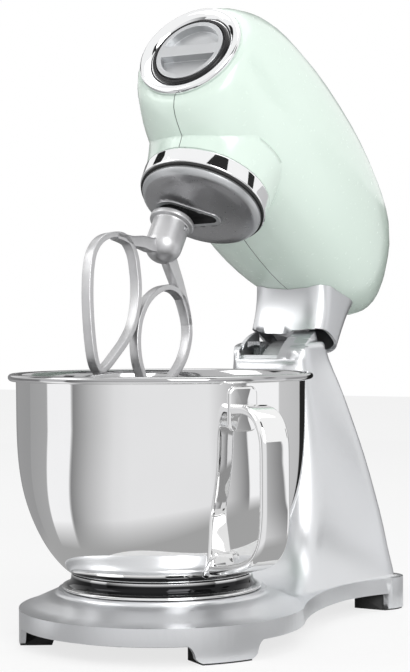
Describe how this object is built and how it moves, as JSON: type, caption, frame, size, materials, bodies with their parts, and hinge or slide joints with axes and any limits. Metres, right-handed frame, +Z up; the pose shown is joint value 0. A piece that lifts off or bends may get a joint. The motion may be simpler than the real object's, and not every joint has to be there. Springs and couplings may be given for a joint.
{
  "type": "stand mixer",
  "caption": "Tilt-head stand mixer, head tipped back, with a planetary flat beater over a polished steel bowl with a strap handle, on a foot-lobed base and column.",
  "frame": {"origin": "on the table under the middle of the whole box", "axes": "+Z up, -Y towards the front (bowl end), +X to the right as seen from the front; head stored tipped back"},
  "size_m": [0.261, 0.4678, 0.4991],
  "materials": {
    "silver_enamel": "satin metallic enamel",
    "white_enamel": "gloss enamel, a faint cool green white",
    "white_coating": "satin white nylon coating on cast metal",
    "polished_steel": "mirror polished stainless steel",
    "bright_chrome": "bright chrome",
    "dull_steel": "machined",
    "cast_alloy": "as cast",
    "bronze": "sintered",
    "copper_winding": "enamelled copper wire and laminations",
    "dark_plastic": "matte",
    "black_plastic": "gloss",
    "grey_plastic": "satin",
    "silver_plastic": "satin, metallic grey",
    "board_resin": "circuit board",
    "black_rubber": "matte"
  },
  "bodies": {
    "base": {"base_casting": "silver_enamel", "base_cover": "dark_plastic", "rubber_feet": "black_rubber", "bowl_lock_plate": "dull_steel", "cord_gland": "black_rubber", "hinge_pin": "dull_steel", "hinge_bushes": "bronze", "button_spring": "dull_steel", "latch_pin": "dull_steel", "cover_screws": "dull_steel"},
    "head": {"head_shell_right": "white_enamel", "head_shell_left": "white_enamel", "neck_collar": "silver_enamel", "head_chassis": "cast_alloy", "outlet_bezel": "bright_chrome", "outlet_ring": "black_plastic", "outlet_bearing": "cast_alloy", "speed_track": "grey_plastic", "vent_grille": "dark_plastic", "control_board": "board_resin", "hub_ring": "bright_chrome", "hub_gasket": "black_rubber", "ring_gear": "dull_steel", "gearbox_lower": "cast_alloy", "gearbox_cover": "cast_alloy", "drive_belt": "black_rubber", "motor_can": "dull_steel", "motor_stator": "copper_winding", "gearbox_screws": "dull_steel"},
    "outlet_cap": {"outlet_cap": "silver_plastic"},
    "speed_lever": {"speed_lever": "grey_plastic"},
    "planet_carrier": {"planet_carrier": "cast_alloy", "main_shaft": "dull_steel", "main_gear": "dull_steel", "bevel_pinion": "dull_steel"},
    "beater_shaft": {"beater_shaft": "dull_steel", "planet_pinion": "dull_steel", "drive_pin": "dull_steel", "shaft_spring": "dull_steel"},
    "flat_beater": {"flat_beater": "white_coating"},
    "outlet_shaft": {"outlet_shaft": "dull_steel", "outlet_bevel": "dull_steel"},
    "layshaft": {"layshaft": "dull_steel", "layshaft_pinion": "dull_steel", "belt_pulley": "grey_plastic"},
    "motor_rotor": {"motor_rotor": "dull_steel", "motor_pulley": "cast_alloy", "motor_fan": "dark_plastic"},
    "bowl": {"bowl": "polished_steel", "bowl_foot": "polished_steel", "bowl_handle": "polished_steel"},
    "release_button": {"release_button": "silver_enamel"},
    "latch_lever": {"latch_lever": "dull_steel"}
  },
  "joints": [
    {"name": "head_tilt", "type": "hinge", "parent": "base", "child": "head", "pos_m": [-0.0135, 0.097, 0.1817], "axis": [1, 0, 0], "range_deg": [0, 34.4]},
    {"name": "outlet_cap_pull", "type": "slide", "parent": "head", "child": "outlet_cap", "axis": [0, -0.8251, 0.565], "range_m": [0, 0.01]},
    {"name": "speed_lever_slide", "type": "slide", "parent": "head", "child": "speed_lever", "axis": [0, -0.8251, 0.565], "range_m": [0, 0.044]},
    {"name": "planet_spin", "type": "hinge", "parent": "head", "child": "planet_carrier", "pos_m": [-0.0135, -0.04509, 0.35208], "axis": [0, 0.565, 0.8251], "continuous": true},
    {"name": "beater_shaft_spin", "type": "hinge", "parent": "planet_carrier", "child": "beater_shaft", "pos_m": [-0.03525, -0.04509, 0.35208], "axis": [0, 0.565, 0.8251], "continuous": true},
    {"name": "beater_lift", "type": "slide", "parent": "beater_shaft", "child": "flat_beater", "axis": [0, 0.565, 0.8251], "range_m": [0, 0.002], "stiffness_N_per_m": 500, "springref_m": -0.006, "deforming": ["shaft_spring"]},
    {"name": "outlet_spin", "type": "hinge", "parent": "head", "child": "outlet_shaft", "pos_m": [-0.0135, -0.00329, 0.41313], "axis": [0, -0.8251, 0.565], "continuous": true},
    {"name": "layshaft_spin", "type": "hinge", "parent": "head", "child": "layshaft", "pos_m": [-0.0135, -0.00642, 0.32559], "axis": [0, 0.565, 0.8251], "continuous": true},
    {"name": "motor_spin", "type": "hinge", "parent": "head", "child": "motor_rotor", "pos_m": [-0.0135, 0.07867, 0.26733], "axis": [0, 0.565, 0.8251], "continuous": true},
    {"name": "bowl_twist", "type": "hinge", "parent": "base", "child": "bowl", "pos_m": [-0.0135, -0.1165, 0], "axis": [0, 0, 1], "range_deg": [0, 25]},
    {"name": "button_press", "type": "slide", "parent": "base", "child": "release_button", "axis": [0, -1, 0], "range_m": [0, 0.004], "stiffness_N_per_m": 600, "springref_m": -0.004, "deforming": ["button_spring"]},
    {"name": "latch_turn", "type": "hinge", "parent": "base", "child": "latch_lever", "pos_m": [-0.0335, 0.0795, 0.158], "axis": [1, 0, 0], "range_deg": [0, 6.2]}
  ],
  "couplings": [
    {"joint": "beater_shaft_spin", "follows": "planet_spin", "ratio": -2.6111},
    {"joint": "outlet_spin", "follows": "planet_spin", "ratio": 1},
    {"joint": "layshaft_spin", "follows": "planet_spin", "ratio": -4},
    {"joint": "motor_spin", "follows": "planet_spin", "ratio": -13.6},
    {"joint": "latch_turn", "follows": "button_press", "rad_per_m": 26}
  ]
}
